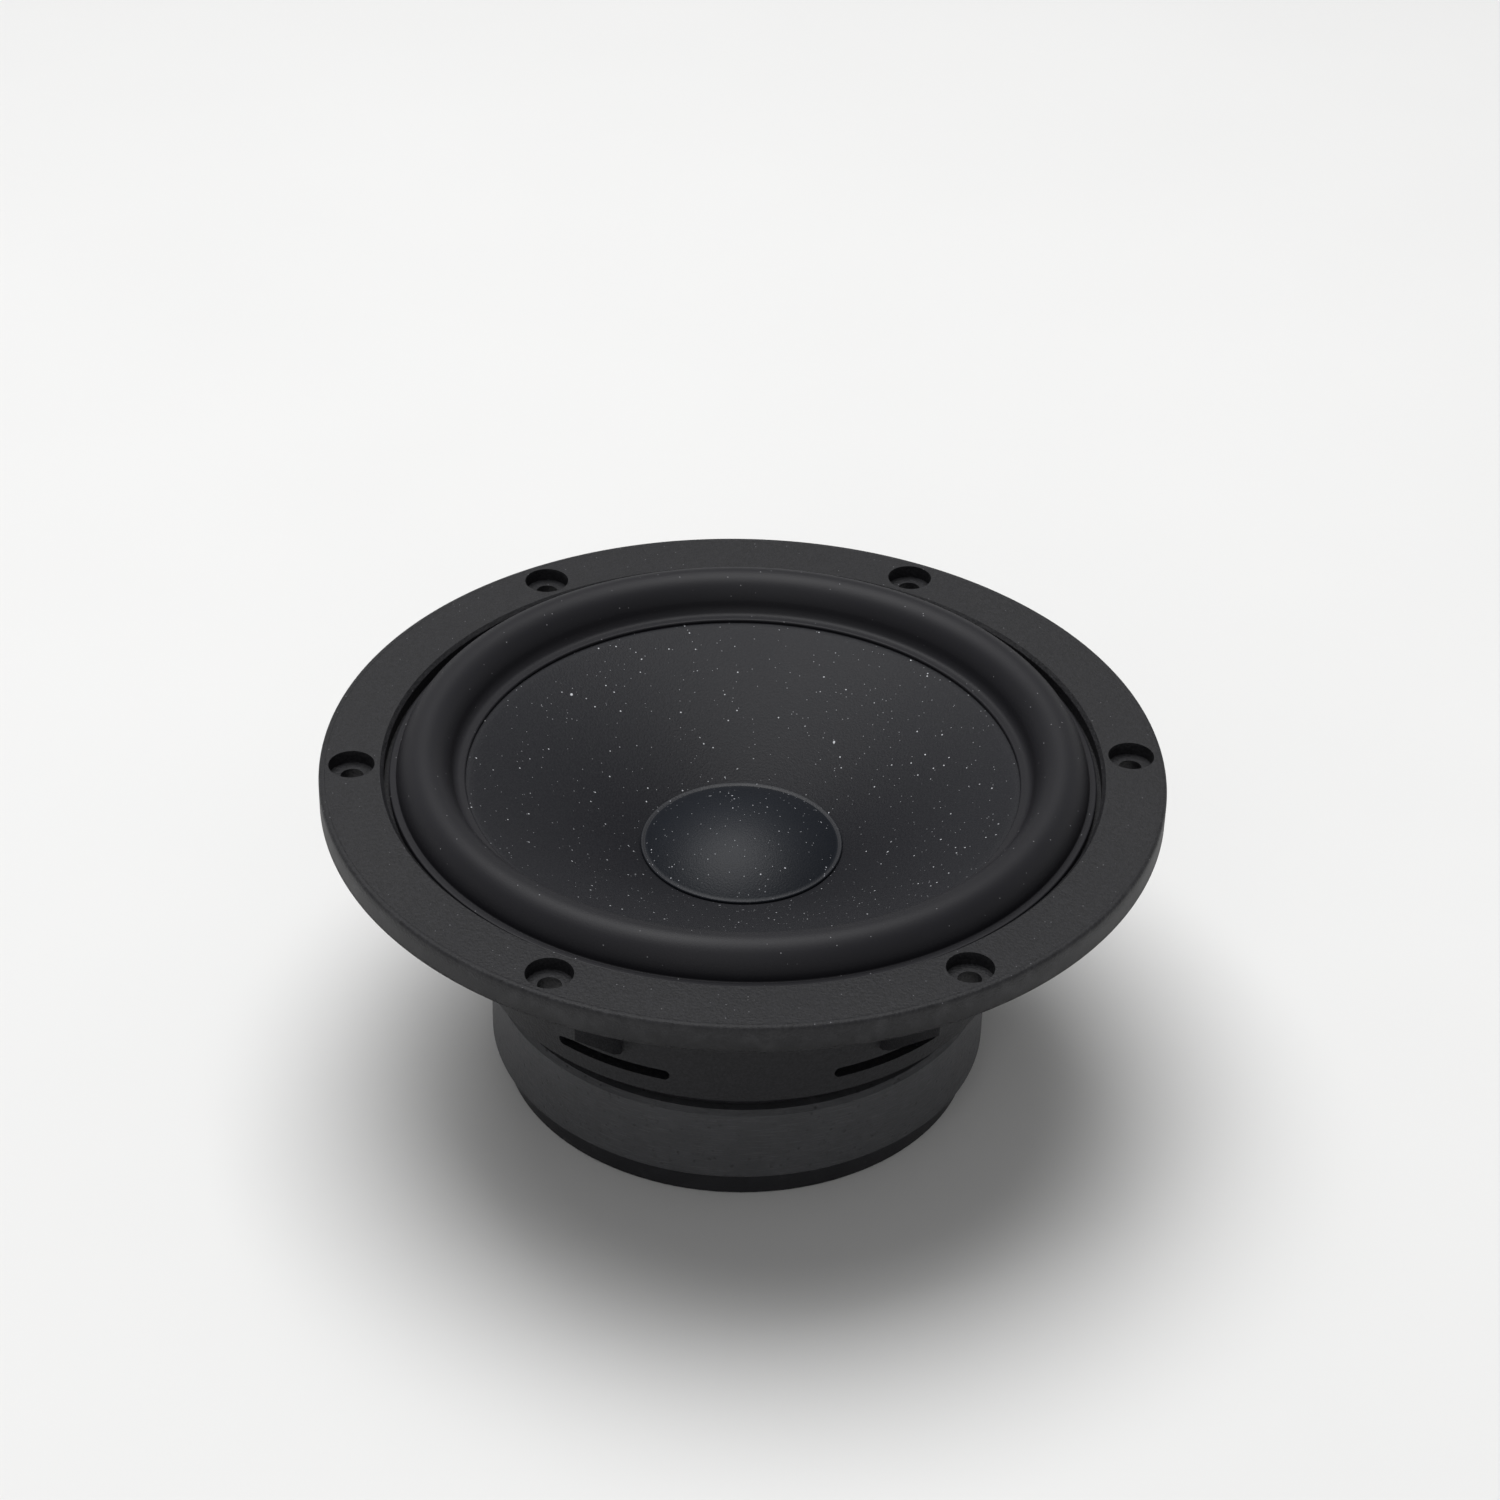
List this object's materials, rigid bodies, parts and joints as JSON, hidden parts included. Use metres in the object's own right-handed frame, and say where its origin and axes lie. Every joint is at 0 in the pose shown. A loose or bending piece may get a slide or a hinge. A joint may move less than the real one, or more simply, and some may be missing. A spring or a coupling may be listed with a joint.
{
  "type": "cone loudspeaker driver",
  "caption": "Round cone loudspeaker driver for a car door: flanged cast basket, rubber surround, moving cone with dust cap and voice coil, ferrite motor.",
  "frame": {"origin": "centre of the six-screw circle on the flange's rear seating face", "axes": "+Z out of the cone towards the listener, square to the flange; +X through one fixing-screw hole; the terminals are on the +Y side"},
  "size_m": [0.165, 0.165, 0.0751],
  "materials": {
    "basket": "fine textured black powder coat on die-cast aluminium",
    "surround_rubber": "satin moulded rubber",
    "cone_black": "mineral-filled polypropylene, fine matt grain",
    "cap_black": "soft satin moulding",
    "former_film": "amber polyimide film",
    "coil_wire": "enamelled copper wire",
    "coil_paper": "kraft wrap",
    "solder": "dull tin solder",
    "spider_cloth": "resin-treated woven cloth",
    "tinsel_braid": "braided tinsel lead",
    "phenolic": "paper phenolic board",
    "tin_plate": "tin-plated brass",
    "eyelet_brass": "rolled brass eyelets",
    "rivet_steel": "steel drive rivets",
    "zinc_black": "black passivated steel",
    "ferrite": "sintered ferrite, ground faces",
    "ring_aluminium": "turned aluminium",
    "mesh_steel": "woven wire cloth",
    "screw_steel": "zinc-plated steel screws"
  },
  "bodies": {
    "frame_body": {"basket": "basket", "surround": "surround_rubber", "spider": "spider_cloth", "tinsel_lead_positive": "tinsel_braid", "tinsel_lead_negative": "tinsel_braid", "terminal_board": "phenolic", "terminal_positive": "tin_plate", "terminal_negative": "tin_plate", "terminal_eyelets": "eyelet_brass", "board_rivets": "rivet_steel", "terminal_solder_beads": "solder", "top_plate": "zinc_black", "magnet": "ferrite", "yoke": "zinc_black", "shorting_ring": "ring_aluminium", "vent_mesh": "mesh_steel", "motor_screws": "screw_steel"},
    "cone_body": {"cone": "cone_black", "dust_cap": "cap_black", "voice_coil_former": "former_film", "voice_coil_winding": "coil_wire", "coil_wrap": "coil_paper", "coil_lead_wires": "coil_wire", "coil_solder_joints": "solder"}
  },
  "joints": [
    {"name": "cone_travel", "type": "slide", "parent": "frame_body", "child": "cone_body", "axis": [0, 0, 1], "range_m": [-0.006, 0.006], "stiffness_N_per_m": 1200, "deforming": ["surround", "spider", "tinsel_lead_positive", "tinsel_lead_negative"]}
  ]
}
